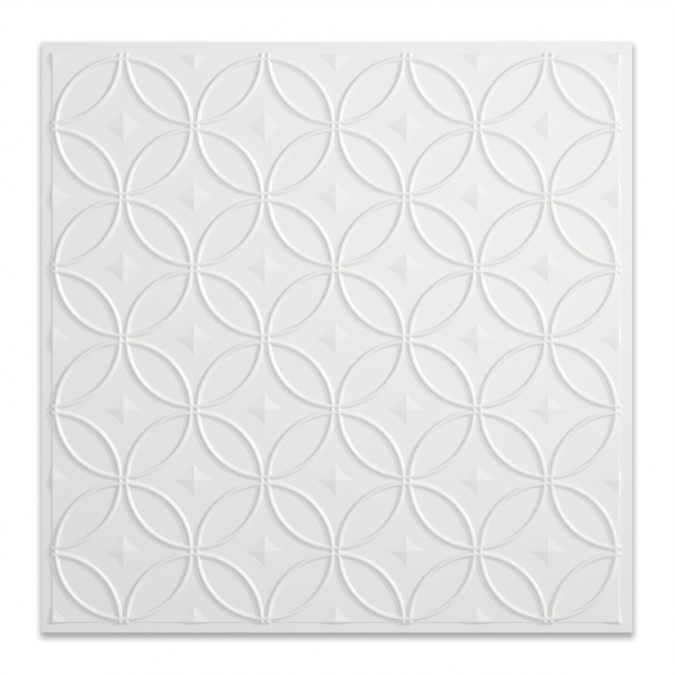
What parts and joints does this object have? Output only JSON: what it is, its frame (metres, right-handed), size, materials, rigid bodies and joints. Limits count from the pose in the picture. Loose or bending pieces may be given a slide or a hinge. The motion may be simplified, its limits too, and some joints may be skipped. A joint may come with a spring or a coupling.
{
  "type": "pvc drop ceiling tile",
  "caption": "Square white PVC drop-in ceiling tile: a thin formed sheet with a flat rim and a raised field of overlapping beaded rings with four-pointed stars.",
  "frame": {"origin": "middle of the tile's outline, on the back of its flat rim, which is the lowest face as it lies", "axes": "+Z out of the patterned face, +X and +Y along two of the tile's edges, with +Y towards the top of the picture"},
  "size_m": [0.6032, 0.6032, 0.0039],
  "materials": {
    "white_pvc": "satin white"
  },
  "bodies": {
    "root": {"ceiling_tile": "white_pvc"}
  },
  "joints": []
}
